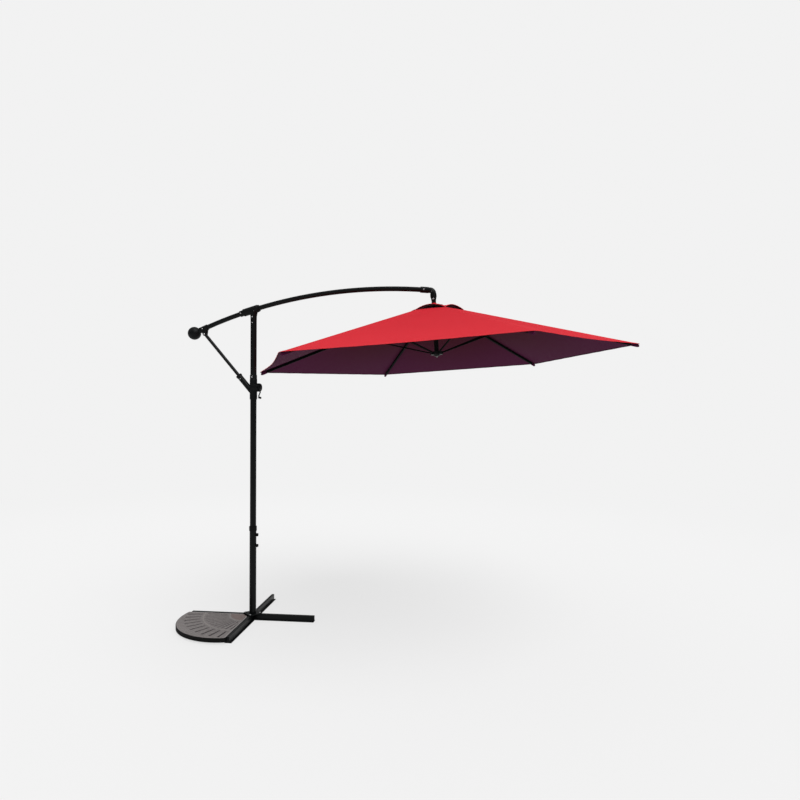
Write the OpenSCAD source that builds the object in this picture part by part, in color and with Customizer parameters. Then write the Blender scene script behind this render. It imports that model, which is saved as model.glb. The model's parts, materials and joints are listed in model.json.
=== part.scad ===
// Cantilever patio umbrella with a crossed-bar foot and one fan-shaped weight.
// Origin on the mast's axis at the ground, +Z up, +X along the boom to the canopy.

/* [Canopy] */
// Distance from the canopy's centre to each corner
canopy_r = 1350; // [1250:10:1350]
// Slope of the open ribs
rib_slope = 16.2; // [15:0.1:17]
// Tilt of the canopy's axis, which lifts the outer edge
canopy_tilt = 3.3; // [0:0.1:5]
// Distance along a rib from its hub pin to its stretcher pin
arm_len = 560; // [520:5:600]
// Radius of the circle of pins in the hub and in the runner
pin_circle_r = 32; // [32:1:34]
// Width of a rib tube
rib_w = 12; // [10:1:14]
// Height of a rib tube
rib_h = 18; // [16:1:20]
// Radius of the vent cap's corners
vent_r = 208; // [200:2:220]

/* [Boom] */
// Radius of the boom's arc
boom_r = 3700; // [3700:50:3800]
// Distance from the mast to the top of the arc
boom_mid_x = 920; // [900:5:940]
// Height of the arc's highest point
boom_top_z = 2451; // [2440:1:2460]
// Outer diameter of the boom tube
boom_d = 35; // [35:1:36]
// Distance from the mast to the elbow's corner
corner_x = 1378; // [1378:1:1400]
// Distance from the elbow's corner down to the hub's pins
hub_drop = 134; // [132:1:140]
// Diameter of the ball at the boom's rear end
ball_d = 100; // [80:5:105]

/* [Mast] */
// Outer diameter of the upper mast
mast_d = 46; // [45:1:46]
// Outer diameter of the lower mast
lower_d = 50; // [50:1:52]
// Height of the lower mast's top
lower_top = 680; // [660:5:700]
// Height where the strut's axis meets the mast's axis
strut_foot_z = 1700; // [1695:1:1705]
// Slope of the strut
strut_slope = 48.5; // [48:0.5:49]
// Outer diameter of the strut
strut_d = 24; // [22:1:24]
// Height of the crank's axis
crank_z = 1744; // [1740:1:1748]
// Distance from the crank's axis to its grip
crank_len = 78; // [74:1:80]

/* [Foot] */
// Length of each crossed bar
bar_len = 940; // [900:10:1100]
// Width of a bar's web
bar_w = 20; // [18:1:24]
// Height of a bar
bar_h = 42; // [40:1:45]
// Width of a bar's bottom strip
strip_w = 50; // [45:1:60]
// Turn of the foot under the boom
foot_turn = 6; // [0:1:45]
// Side of the square foot plate
plate_w = 100; // [96:1:110]
// Radius of the weight's rim
fan_r = 395; // [380:5:400]
// Offset of the rim's centre from each bar's axis
fan_offset = 112; // [100:2:120]

/* [Hidden] */
$fn = 48;

// Colours
frame_black = "#23272a";
plastic_black = "#15171a";
canopy_red = "#c8303c";
weight_brown = "#6b5f58";
steel = "#b9bcbe";
cord_grey = "#8a8a86";

// Play of a turning fit, and of a pin in the pivots that only guide
play = 0.06;
loose = 0.5;

// Foot
bar_wall = 2;
strip_t = 2.5;
cap_t = 5;
plate_t = 6;
foot_top = bar_h + plate_t;
bolt_reach = 55;
bolt_d = 8;
lap_z = bar_h / 2;
lap_play = 0.3;
fan_gap = 2;
fan_under = 10;
fan_tip = 80;

// Mast
tube_wall = 1.6;
mast_foot_z = 500;
mast_top_z = 2255;
neck_d = 47;
spigot_len = 55;
neck_screw_z = mast_top_z + 22;
spigot_screw_z = mast_top_z - 21;
knob_z = [634, 553];
knob_d = 24;
knob_stud_d = 8;

// Winch
housing_d = 55;
housing_z = [1654, 1806];
collar_top = 1840;
boss_d = 64;
boss_x = 45;
cavity_d = 52;
cover_t = 3.5;
shaft_d = 10;
drum_d = 22;
flange_d = 37;
winding_d = 31;
spool_x = [26, 44];
cord_d = 4;
arm_t = 8;
grip_pin_d = 8;

// Strut and its socket
socket_d = 41;
socket_len = 184;
strut_start = 62;
strut_pin_x = -405;
strut_pin_z = strut_foot_z - strut_pin_x * tan(strut_slope);
strut_len = -strut_pin_x / cos(strut_slope);
button_at = 150;
button_d = 8;

// Boom
boom_rear_x = -455;
boom_front_x = 1332;
ball_x = -497;
ball_neck = 44.3;
boom_wall = 1.5;
arc_z = boom_top_z - boom_r;
function boom_t(x) = asin((x - boom_mid_x) / boom_r);
function boom_z(x) = arc_z + boom_r * cos(boom_t(x));
head_z = boom_z(0);
pulley_pitch = 12;
pulley_d = 28;
elbow_pitch = 8;
elbow_pulley_d = 18;
pulley_w = 9;
groove_play = 0.8;
pulley_pin_d = 5;

// Elbow, hub and canopy frame
corner_z = boom_z(corner_x);
bend_r = 26;
bend_turn = 90 - boom_t(corner_x) - canopy_tilt;
bend_reach = bend_r * tan(bend_turn / 2);
hub_d = 88;
hub_t = 22;
slot_w = 8.2;
tongue_w = 7.6;
hub_core = 24;
pin_d = 4;
pin_len = 20;
stem_d = 32;
runner_drop = 2 * arm_len * sin(rib_slope);

// Ribs: the tube's axis runs above the line through its two pins
rib_rise = 15;
rib_wall = 0.8;
rib_top = rib_rise + rib_h / 2;
fabric_lift = 1.3;
fabric_t = 1;
seam_gap = 0.4;
hem_sag = 22;
tip_u = (canopy_r - pin_circle_r - (rib_top + fabric_lift) * sin(rib_slope)) / cos(rib_slope);
apex_z = pin_circle_r * tan(rib_slope) + (rib_top + fabric_lift) / cos(rib_slope);
canopy_hole_r = 190;
vent_in = 22;
vent_top = 47;
vent_edge = apex_z - vent_r * tan(rib_slope) + 6;

// Lift cord: from the drum up the mast, over both pulleys and down the hanger
cord_rise = [[35, 18, 1743], [35, 18, 1751], [32, 16.5, 1758], [25, 12, 1763], [17, 8, 1772],
    [6, 3, 1800], [0, 0, 1840], [0, 0, 2080], [0, 0, 2320]];

// ---- shared shapes ----

// Round bar along +X from x0 to x1
module x_bar(d, x0, x1) {
    translate([x0, 0, 0])
        rotate([0, 90, 0])
            cylinder(d = d, h = x1 - x0);
}

// Round bar along Y, centred
module y_bar(d, len) {
    rotate([90, 0, 0])
        cylinder(d = d, h = len, center = true);
}

// A child placed on the boom's axis at x, with its +X along the boom
module on_boom(x) {
    translate([x, 0, boom_z(x)])
        rotate([0, boom_t(x), 0])
            children();
}

// Round bar that follows the boom's arc from x0 to x1
module boom_bar(d, x0, x1) {
    translate([boom_mid_x, 0, arc_z])
        rotate([0, boom_t(x1) - 90, 0])
            rotate([90, 0, 0])
                rotate_extrude(angle = boom_t(x1) - boom_t(x0), $fn = 720)
                    translate([boom_r, 0])
                        circle(d = d, $fn = 48);
}

// The foot's own frame, with one bar along X
module foot_frame() {
    rotate([0, 0, foot_turn])
        children();
}

// The strut's frame: origin on the mast's axis, +X up along the strut
module strut_frame() {
    translate([0, 0, strut_foot_z])
        rotate([0, 180 + strut_slope, 0])
            children();
}

// The canopy's frame: origin at the hub's pin circle, +Z up its tilted axis
module canopy_frame() {
    translate([corner_x, 0, corner_z])
        rotate([0, -canopy_tilt, 0])
            translate([0, 0, -hub_drop])
                children();
}

// Six children round the canopy's axis
module around_hub() {
    for (i = [0:5])
        rotate([0, 0, 60 * i])
            children();
}

// Frame of rib number i: origin at its hub pin, +X out along its pin line
module rib_frame(i) {
    canopy_frame()
        rotate([0, 0, 60 * (i - 1)])
            translate([pin_circle_r, 0, 0])
                rotate([0, rib_slope, 0])
                    children();
}

// Frame of stretcher number i: origin at its rib pin, +X down along it to the runner
module stretcher_frame(i) {
    rib_frame(i)
        translate([arm_len, 0, 0])
            rotate([0, 180 - 2 * rib_slope, 0])
                children();
}

// Frame of the pulley that turns the cord down the hanger
module elbow_pulley_frame() {
    translate([corner_x, 0, corner_z])
        rotate([0, boom_t(corner_x), 0])
            translate([-elbow_pitch * tan(bend_turn / 2), 0, -elbow_pitch])
                children();
}

// Frame of the pulley that turns the cord from the mast into the boom
module mast_pulley_frame() {
    translate([pulley_pitch, 0, head_z - pulley_pitch])
        children();
}

// Tube of n sides along a route of points
function unit(v) = v / norm(v);
function along(p, i) = unit(p[min(i + 1, len(p) - 1)] - p[max(i - 1, 0)]);
function across(t) = unit(cross(t, abs(t.y) < 0.9 ? [0, 1, 0] : [1, 0, 0]));
module swept_cord(p, d, n = 8) {
    rings = [for (i = [0:len(p) - 1])
        let (t = along(p, i), a = across(t), b = cross(t, a))
            for (k = [0:n - 1])
                p[i] + d / 2 * (a * cos(360 * k / n) + b * sin(360 * k / n))];
    sides = [for (i = [0:len(p) - 2]) for (k = [0:n - 1])
        [i * n + k, i * n + (k + 1) % n, (i + 1) * n + (k + 1) % n, (i + 1) * n + k]];
    start = [for (k = [0:n - 1]) n - 1 - k];
    finish = [for (k = [0:n - 1]) (len(p) - 1) * n + k];
    polyhedron(points = rings, faces = concat(sides, [start, finish]), convexity = 4);
}

// ---- foot ----

// A bar: an inverted channel on a wide bottom strip
module bar_section_len(len) {
    translate([-len / 2, -strip_w / 2, 0])
        cube([len, strip_w, strip_t]);
    difference() {
        translate([-len / 2, -bar_w / 2, strip_t])
            cube([len, bar_w, bar_h - strip_t]);
        translate([-len / 2 - 1, -bar_w / 2 + bar_wall, strip_t])
            cube([len + 2, bar_w - 2 * bar_wall, bar_h - strip_t - bar_wall]);
    }
}

// Bolt holes through the top of a bar that lies along X
module bar_bolt_holes() {
    for (side = [-1, 1])
        translate([side * bolt_reach, 0, bar_h - 10])
            cylinder(d = bolt_d + 0.2, h = 20);
}

module cross_bar_a() {
    lap_w = bar_w + 2 * lap_play;
    color(frame_black)
        foot_frame()
            difference() {
                bar_section_len(bar_len);
                translate([-lap_w / 2, -bar_w, lap_z - lap_play])
                    cube([lap_w, 2 * bar_w, bar_h]);
                bar_bolt_holes();
            }
}

module cross_bar_b() {
    lap_w = strip_w + 2 * lap_play;
    color(frame_black)
        foot_frame()
            rotate([0, 0, 90])
                difference() {
                    bar_section_len(bar_len);
                    translate([-lap_w / 2, -strip_w, -1])
                        cube([lap_w, 2 * strip_w, lap_z + 1]);
                    bar_bolt_holes();
                }
}

module bar_end_caps() {
    color(plastic_black)
        foot_frame()
            for (turn = [0:90:270])
                rotate([0, 0, turn])
                    translate([bar_len / 2, 0, 0]) {
                        translate([0, -strip_w / 2, 0])
                            cube([cap_t, strip_w, strip_t]);
                        translate([0, -bar_w / 2, 0])
                            cube([cap_t, bar_w, bar_h]);
                        translate([-12, -bar_w / 2 + bar_wall + 0.1, strip_t + 0.1])
                            cube([12, bar_w - 2 * bar_wall - 0.2, bar_h - strip_t - bar_wall - 0.2]);
                    }
}

module foot_plate() {
    color(frame_black)
        foot_frame()
            difference() {
                rotate([0, 0, 45])
                    translate([-plate_w / 2, -plate_w / 2, bar_h])
                        cube([plate_w, plate_w, plate_t]);
                for (turn = [0:90:270])
                    rotate([0, 0, turn])
                        translate([bolt_reach, 0, bar_h - 1])
                            cylinder(d = bolt_d + 0.2, h = plate_t + 2);
            }
}

module foot_bolts() {
    color(steel)
        foot_frame()
            for (turn = [0:90:270])
                rotate([0, 0, turn])
                    translate([bolt_reach, 0, 0]) {
                        translate([0, 0, bar_h - 14])
                            cylinder(d = bolt_d, h = plate_t + 14);
                        translate([0, 0, foot_top])
                            cylinder(d = 15, h = 5, $fn = 6);
                    }
}

module foot_nuts() {
    nut_h = 6;
    color(steel)
        foot_frame()
            for (turn = [0:90:270])
                rotate([0, 0, turn])
                    translate([bolt_reach, 0, bar_h - bar_wall - nut_h])
                        difference() {
                            cylinder(d = 14, h = nut_h, $fn = 6);
                            translate([0, 0, -1])
                                cylinder(d = bolt_d + 0.1, h = nut_h + 2);
                        }
}

// Outline of the weight between two bars, with its tip towards the mast
module fan_outline(shrink = 0) {
    edge = bar_w / 2 + fan_gap + shrink;
    intersection() {
        translate([fan_offset, fan_offset])
            circle(r = fan_r - shrink, $fn = 180);
        difference() {
            translate([edge, edge])
                square(fan_offset + fan_r);
            rotate([0, 0, 45])
                translate([-fan_tip, -fan_tip])
                    square([fan_tip + (fan_tip + shrink) / sqrt(2), 2 * fan_tip]);
        }
    }
}

module fan_weight() {
    color(weight_brown)
        foot_frame()
            rotate([0, 0, 180]) {
                translate([0, 0, fan_under])
                    linear_extrude(bar_h - 1 - fan_under)
                        fan_outline();
                // two rails under the straight sides, which sit on the bars' strips
                for (turned = [0, 1])
                    mirror([turned, -turned, 0])
                        translate([fan_tip, bar_w / 2 + fan_gap, strip_t])
                            cube([330, strip_w / 2 - bar_w / 2 - fan_gap - 1, fan_under - strip_t + 1]);
            }
}

// ---- mast ----

// Front holes for the screws on the mast's centre line
module front_hole(z, from = 15) {
    translate([0, -from, z])
        rotate([90, 0, 0])
            cylinder(d = 5.1, h = 25);
}

module lower_mast() {
    color(frame_black)
        difference() {
            union() {
                translate([0, 0, foot_top])
                    cylinder(d = lower_d, h = lower_top - foot_top);
                for (z = knob_z)
                    translate([0, 0, z])
                        x_bar(16, 20, lower_d / 2 + 3);
            }
            translate([0, 0, foot_top - 1])
                cylinder(d = lower_d - 2 * 1.5, h = lower_top - foot_top + 2);
            for (z = knob_z)
                translate([0, 0, z])
                    x_bar(knob_stud_d + 2 * play, 10, lower_d);
        }
}

// Plug inside the lower mast that the upper mast stands on
module mast_rest() {
    color(plastic_black)
        translate([0, 0, mast_foot_z - 30])
            cylinder(d = lower_d - 3.1, h = 29.7);
}

module mast_collar() {
    color(plastic_black)
        difference() {
            translate([0, 0, lower_top - 16])
                cylinder(d = lower_d + 7, h = 34);
            translate([0, 0, lower_top - 17])
                cylinder(d = lower_d + 0.1, h = 17);
            translate([0, 0, lower_top - 18])
                cylinder(d = mast_d + 2 * play, h = 40);
        }
}

// Clamp screw with a fluted knob, at height z
module clamp_knob(z) {
    color(plastic_black)
        translate([0, 0, z]) {
            x_bar(knob_stud_d, mast_d / 2 + 0.4, 30);
            difference() {
                x_bar(knob_d, lower_d / 2 + 3.4, lower_d / 2 + 15);
                for (k = [0:7])
                    rotate([45 * k, 0, 0])
                        translate([0, 0, knob_d / 2 + 1])
                            x_bar(6, lower_d / 2 + 5, lower_d / 2 + 16);
            }
        }
}

module upper_mast() {
    color(frame_black)
        difference() {
            translate([0, 0, mast_foot_z])
                cylinder(d = mast_d, h = mast_top_z - mast_foot_z);
            translate([0, 0, mast_foot_z - 1])
                cylinder(d = mast_d - 2 * tube_wall, h = mast_top_z - mast_foot_z + 2);
            // window for the cord, and the shaft's inner bush
            translate([8, 2, crank_z + 12])
                cube([20, 15, 30]);
            translate([0, 0, crank_z])
                x_bar(14.1, 12, 30);
            for (z = [collar_top - 17, spigot_screw_z])
                front_hole(z);
        }
}

// ---- winch ----

module winch_housing() {
    color(plastic_black)
        difference() {
            union() {
                translate([0, 0, housing_z[0]])
                    cylinder(d = housing_d, h = housing_z[1] - housing_z[0]);
                translate([0, 0, housing_z[0]])
                    cylinder(d = housing_d - 3, h = collar_top - housing_z[0]);
                translate([0, 0, crank_z])
                    x_bar(boss_d, 0, boss_x);
                strut_frame()
                    x_bar(socket_d, 0, socket_len);
                strut_frame()
                    x_bar(socket_d + 6, socket_len - 10, socket_len);
            }
            translate([0, 0, housing_z[0] - 1])
                cylinder(d = mast_d + 0.1, h = collar_top - housing_z[0] + 2);
            translate([0, 0, crank_z])
                x_bar(cavity_d, 15, boss_x + 1);
            translate([12, 5, crank_z])
                cube([14, 9, 27]);
            strut_frame()
                x_bar(strut_d + 0.1, strut_start - 1, socket_len + 1);
            strut_frame()
                translate([button_at, 0, 0])
                    rotate([90, 0, 0])
                        cylinder(d = button_d + 2 * play, h = socket_d);
            front_hole(collar_top - 17);
        }
}

module winch_cover() {
    color(plastic_black)
        translate([0, 0, crank_z])
            difference() {
                union() {
                    x_bar(boss_d, boss_x, boss_x + cover_t);
                    x_bar(24, boss_x + 1, boss_x + cover_t + 1.5);
                }
                x_bar(16.1, boss_x - 1, boss_x + cover_t + 3);
                for (k = [0:2])
                    rotate([120 * k, 0, 0])
                        translate([0, 0, 29])
                            x_bar(2, boss_x + 1, boss_x + cover_t + 1);
            }
}

module shaft_bushes() {
    color(steel)
        translate([0, 0, crank_z])
            difference() {
                union() {
                    x_bar(14, 20, 24);
                    x_bar(19, mast_d / 2 + 0.1, 25.4);
                    x_bar(16, boss_x - 0.3, boss_x + cover_t + 1.5);
                }
                x_bar(shaft_d + 2 * play, 10, 60);
            }
}

module winch_shaft() {
    color(steel)
        translate([0, 0, crank_z])
            x_bar(shaft_d, 19, 60);
}

module winch_spool() {
    color(plastic_black)
        translate([0, 0, crank_z])
            difference() {
                union() {
                    x_bar(drum_d, spool_x[0], spool_x[1]);
                    x_bar(flange_d, spool_x[0], spool_x[0] + 2);
                    x_bar(flange_d, spool_x[1] - 2, spool_x[1]);
                }
                x_bar(shaft_d + 0.1, spool_x[0] - 1, spool_x[1] + 1);
            }
}

// The turns of cord on the drum
module cord_winding() {
    turns = 3;
    lane = (spool_x[1] - spool_x[0] - 4.4) / turns;
    color(cord_grey)
        translate([spool_x[0] + 2.2, 0, crank_z])
            rotate([0, 90, 0])
                rotate_extrude()
                    difference() {
                        translate([drum_d / 2 + 0.1, 0])
                            square([(winding_d - drum_d) / 2, lane * turns]);
                        for (k = [0:turns])
                            translate([winding_d / 2 + 0.6, lane * k])
                                circle(r = 1.2, $fn = 24);
                    }
}

// A round link of the crank's arm, at a distance below the crank's axis
module arm_link(down, x0) {
    translate([0, 0, -down])
        x_bar(14, x0, x0 + arm_t);
}

module crank_arm() {
    color(plastic_black)
        translate([0, 0, crank_z])
            difference() {
                union() {
                    x_bar(60, 51, 56);
                    x_bar(50, 56, 60);
                    x_bar(28, 60, 64);
                    hull() {
                        arm_link(0, 51);
                        arm_link(38, 51);
                    }
                    hull() {
                        arm_link(38, 51);
                        arm_link(crank_len - 18, 42);
                    }
                    hull() {
                        arm_link(crank_len - 18, 42);
                        arm_link(crank_len, 41);
                    }
                    translate([0, 0, -crank_len])
                        x_bar(grip_pin_d, 42, 62.5);
                    translate([0, 0, -crank_len])
                        x_bar(11, 62, 64);
                }
                x_bar(shaft_d + 0.1, 50, 60.1);
            }
}

module crank_grip() {
    color(plastic_black)
        translate([0, 0, crank_z - crank_len])
            difference() {
                x_bar(16, 51, 61.6);
                x_bar(grip_pin_d + 2 * play, 50, 62);
            }
}

// ---- strut ----

module strut() {
    color(frame_black)
        strut_frame()
            difference() {
                union() {
                    x_bar(strut_d, strut_start, strut_len - 14);
                    x_bar(16, strut_len - 30, strut_len - 8);
                    translate([strut_len, 0, 0])
                        y_bar(26, 20);
                }
                x_bar(strut_d - 2 * 1.5, strut_start - 1, strut_len - 30);
                translate([strut_len, 0, 0])
                    y_bar(8.1, 40);
                translate([button_at, 0, 0])
                    rotate([90, 0, 0])
                        cylinder(d = button_d + 2 * play, h = strut_d);
            }
}

module strut_bolt() {
    color(steel)
        strut_frame()
            translate([strut_len, 0, 0]) {
                y_bar(8, 34);
                translate([0, -18.5, 0])
                    y_bar(15, 4);
                translate([0, 18.8, 0])
                    y_bar(14, 5);
            }
}

// Sprung button that locks the strut in its socket
module strut_button() {
    color(steel)
        strut_frame()
            translate([button_at, 0, 0])
                rotate([90, 0, 0]) {
                    translate([0, 0, 8.2])
                        cylinder(d = button_d, h = socket_d / 2 - 6.2);
                    translate([0, 0, 4.5])
                        cylinder(d = 11, h = 3.8);
                }
}

// ---- boom ----

module boom() {
    color(frame_black)
        difference() {
            boom_bar(boom_d, boom_rear_x, boom_front_x);
            boom_bar(boom_d - 2 * boom_wall, boom_rear_x - 1, boom_front_x + 1);
            translate([-6, -6.5, head_z - 40])
                cube([36, 13, 40]);
            translate([-6, -5, head_z - 40])
                cube([12, 10, 40]);
            mast_pulley_frame()
                y_bar(pulley_pin_d + 0.1, 60);
            for (x = [-418, -97, 1315])
                on_boom(x)
                    front_hole(0, 12);
        }
}

module rear_bracket() {
    sleeve_d = 44;
    color(plastic_black)
        difference() {
            union() {
                boom_bar(sleeve_d, boom_rear_x, -385);
                for (side = [-1, 1])
                    hull() {
                        translate([strut_pin_x, side * 13.4, strut_pin_z])
                            y_bar(24, 5.6);
                        on_boom(-412)
                            translate([0, side * 13.4, -10])
                                cube([44, 5.6, 8], center = true);
                    }
            }
            boom_bar(boom_d + 0.1, boom_rear_x - 1, -380);
            translate([strut_pin_x, 0, strut_pin_z])
                y_bar(8.1, 60);
            on_boom(-418)
                front_hole(0, 12);
        }
}

module boom_ball() {
    color(plastic_black)
        on_boom(ball_x) {
            difference() {
                union() {
                    sphere(d = ball_d, $fn = 96);
                    rotate([0, 90, 0])
                        cylinder(d1 = 76, d2 = 44, h = ball_neck + 1);
                }
                translate([ball_neck, -50, -50])
                    cube(100);
            }
        }
    // plug inside the boom tube, on the same arc
    color(plastic_black)
        boom_bar(boom_d - 2 * boom_wall - 0.2, boom_rear_x - 4, boom_rear_x + 28);
}

module mast_head() {
    color(plastic_black)
        difference() {
            union() {
                boom_bar(57, -80, 36);
                boom_bar(50, 35, 46);
                boom_bar(46, -110, -79);
                translate([0, 0, mast_top_z])
                    cylinder(d = neck_d, h = head_z - mast_top_z);
                translate([0, 0, mast_top_z - spigot_len])
                    cylinder(d = mast_d - 2 * tube_wall - 0.2, h = spigot_len + 1);
            }
            boom_bar(boom_d + 0.1, -115, 51);
            translate([0, 0, mast_top_z - spigot_len - 1])
                cylinder(d = 26, h = head_z - mast_top_z + spigot_len);
            translate([-5, -7, head_z - 27])
                cube([34, 14, 27]);
            mast_pulley_frame()
                y_bar(pulley_pin_d + 0.1, 60);
            front_hole(neck_screw_z);
            front_hole(spigot_screw_z);
            on_boom(-97)
                front_hole(0, 12);
        }
}

// A screw whose flat underside sits at y = -r, with its shank pointing in
module front_screw(r) {
    translate([0, -r, 0])
        rotate([-90, 0, 0]) {
            translate([0, 0, -3])
                cylinder(d = 10, h = 3);
            cylinder(d = 5, h = 7);
        }
}

module frame_screws() {
    color(steel) {
        translate([0, 0, neck_screw_z])
            front_screw(neck_d / 2);
        translate([0, 0, spigot_screw_z])
            front_screw(mast_d / 2);
        translate([0, 0, collar_top - 17])
            front_screw(26);
        on_boom(-97)
            front_screw(23);
        on_boom(-418)
            front_screw(22);
        on_boom(1315)
            front_screw(22);
        canopy_frame()
            translate([0, 0, hub_drop - 62])
                front_screw(19.5);
    }
}

// Grooved pulley about Y, whose cord's centre runs at radius pitch
module pulley(pitch, d) {
    difference() {
        rotate([90, 0, 0])
            rotate_extrude()
                difference() {
                    translate([0, -pulley_w / 2])
                        square([d / 2, pulley_w]);
                    translate([pitch + groove_play / 2, 0])
                        circle(d = cord_d + 2 * groove_play, $fn = 32);
                    translate([pitch + groove_play / 2, -cord_d / 2 - groove_play])
                        square([10, cord_d + 2 * groove_play]);
                }
        y_bar(pulley_pin_d + 2 * play, 40);
    }
}

module mast_pulley() {
    color(plastic_black)
        mast_pulley_frame()
            pulley(pulley_pitch, pulley_d);
}

module elbow_pulley() {
    color(plastic_black)
        elbow_pulley_frame()
            pulley(elbow_pitch, elbow_pulley_d);
}

module pulley_pins() {
    color(steel) {
        mast_pulley_frame()
            y_bar(pulley_pin_d, 50);
        elbow_pulley_frame()
            y_bar(pulley_pin_d, 38);
    }
}

// Round bar through the elbow: along the boom, round a slightly fuller bend and down
module elbow_bar(d, bend_d, back, down) {
    translate([corner_x, 0, corner_z]) {
        rotate([0, boom_t(corner_x), 0]) {
            x_bar(d, -back, 0.5 - bend_reach);
            translate([-bend_reach, 0, -bend_r])
                rotate([0, -90 + bend_turn, 0])
                    rotate([90, 0, 0])
                        rotate_extrude(angle = bend_turn, $fn = 144)
                            translate([bend_r, 0])
                                circle(d = bend_d, $fn = 48);
        }
        rotate([0, 90 - canopy_tilt, 0])
            x_bar(d, bend_reach - 0.5, down);
    }
}

module elbow() {
    color(frame_black)
        difference() {
            union() {
                elbow_bar(40, 41, 50, 46);
                boom_bar(44, 1288, corner_x - 34);
                canopy_frame()
                    translate([0, 0, hub_drop - 48])
                        cylinder(d = 45, h = 24);
            }
            boom_bar(boom_d + 0.1, 1280, boom_front_x + 0.1);
            elbow_bar(31, 30, 60, 60);
            elbow_pulley_frame()
                y_bar(pulley_pin_d + 0.1, 60);
            on_boom(1315)
                front_hole(0, 12);
        }
}

// Tapered hanger with a plug in the elbow and a foot on the hub
module hanger() {
    color(plastic_black)
        canopy_frame()
            difference() {
                union() {
                    translate([0, 0, 60])
                        cylinder(d1 = 32, d2 = 42, h = hub_drop - 108);
                    translate([0, 0, hub_t / 2])
                        cylinder(d = 32, h = 50);
                    translate([0, 0, hub_drop - 49])
                        cylinder(d = 30.8, h = 12);
                }
                cylinder(d = 8, h = hub_drop);
                translate([0, 0, hub_drop - 62])
                    front_hole(0, 12);
            }
}

// Disc with six slots for tongues, shared by the hub and the runner
module slotted_disc(bore) {
    difference() {
        cylinder(d = hub_d, h = hub_t, center = true, $fn = 96);
        cylinder(d = bore, h = 2 * hub_t, center = true);
        around_hub() {
            translate([hub_core, -slot_w / 2, -hub_t])
                cube([hub_d, slot_w, 2 * hub_t]);
            translate([pin_circle_r, 0, 0])
                y_bar(pin_d + 0.1, pin_len + 1);
        }
    }
}

module pin_set() {
    around_hub()
        translate([pin_circle_r, 0, 0])
            y_bar(pin_d, pin_len);
}

module top_hub() {
    color(plastic_black)
        canopy_frame()
            slotted_disc(8);
}

module hub_pins() {
    color(steel)
        canopy_frame()
            pin_set();
}

module runner() {
    color(plastic_black)
        canopy_frame()
            translate([0, 0, -runner_drop])
                difference() {
                    union() {
                        slotted_disc(8);
                        difference() {
                            translate([0, 0, -hub_t / 2 - 10])
                                cylinder(d1 = 34, d2 = 46, h = 10);
                            translate([0, 0, -hub_t / 2 - 11])
                                cylinder(d = 8, h = 12);
                        }
                    }
                    translate([0, 0, -2])
                        cylinder(d = stem_d + 0.1, h = hub_t);
                }
}

module runner_pins() {
    color(steel)
        canopy_frame()
            translate([0, 0, -runner_drop])
                pin_set();
}

module stem_tube() {
    color(frame_black)
        canopy_frame()
            difference() {
                translate([0, 0, -runner_drop - 2])
                    cylinder(d = stem_d, h = runner_drop + 2 - hub_t / 2 - 0.5);
                translate([0, 0, -runner_drop - 3])
                    cylinder(d = stem_d - 3, h = runner_drop);
            }
}

// ---- cord ----

// Route over a pulley: from mast to boom, then along the boom, then down the hanger
function down_point(l) = [corner_x + l * sin(canopy_tilt), 0, corner_z - l * cos(canopy_tilt)];
function mast_arc(a) = [pulley_pitch - pulley_pitch * cos(a), 0,
    head_z - pulley_pitch + pulley_pitch * sin(a)];
elbow_reach = elbow_pitch * tan(bend_turn / 2);
function elbow_arc(a) = let (t = boom_t(corner_x))
    [corner_x - elbow_reach * cos(t) - elbow_pitch * sin(t) + elbow_pitch * sin(t + a), 0,
     corner_z + elbow_reach * sin(t) - elbow_pitch * cos(t) + elbow_pitch * cos(t + a)];

module lift_cord() {
    over_mast = [for (a = [0:15:75]) mast_arc(a)];
    along_boom = [for (x = [40:60:1300]) [x, 0, boom_z(x)]];
    over_elbow = [for (a = [0:16:bend_turn]) elbow_arc(a)];
    down = [for (l = [30:30:hub_drop + 9]) down_point(l)];
    color(cord_grey)
        swept_cord(concat(cord_rise, over_mast, along_boom, over_elbow, down), cord_d);
}

module stem_cord() {
    color(cord_grey)
        canopy_frame() {
            translate([0, 0, -runner_drop - hub_t / 2 - 14])
                cylinder(d = cord_d, h = runner_drop + 14 - 1, $fn = 16);
            translate([0, 0, -runner_drop - hub_t / 2 - 18])
                cylinder(d = 12, h = 7.8);
        }
}

// ---- ribs, stretchers and fabric ----

module rib(i) {
    start_u = 24;
    end_u = tip_u - 22;
    color(frame_black)
        rib_frame(i) {
            difference() {
                union() {
                    translate([start_u, -rib_w / 2, rib_rise - rib_h / 2])
                        cube([end_u - start_u, rib_w, rib_h]);
                    // saddle with two ears that hold the stretcher's eye
                    translate([arm_len - 14, -rib_w / 2 - 1.6, 4])
                        cube([28, rib_w + 3.2, 14]);
                    translate([arm_len, 0, 0])
                        y_bar(14, rib_w + 3.2);
                }
                translate([start_u + 12, -rib_w / 2 + rib_wall, rib_rise - rib_h / 2 + rib_wall])
                    cube([end_u - start_u - 11, rib_w - 2 * rib_wall, rib_h - 2 * rib_wall]);
                translate([arm_len - 15, -rib_w / 2, -10])
                    cube([30, rib_w, 10 + rib_rise - rib_h / 2]);
                translate([arm_len, 0, 0])
                    y_bar(pin_d, 40);
            }
            difference() {
                union() {
                    y_bar(13, tongue_w);
                    rotate([90, 0, 0])
                        linear_extrude(tongue_w, center = true)
                            polygon([[0, 6.5], [16, rib_top - 2], [start_u + 1, rib_top - 2],
                                [start_u + 1, rib_rise - rib_h / 2], [12, 0], [0, -6.5]]);
                }
                y_bar(pin_d + 2 * play, 20);
            }
            // rivet, and the tip's plug
            translate([arm_len, 0, 0])
                y_bar(pin_d - 0.02, rib_w + 6);
            translate([end_u + 0.05, -rib_w / 2 - 1, rib_rise - rib_h / 2 - 1])
                cube([9, rib_w + 2, rib_h + 1]);
        }
}

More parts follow.
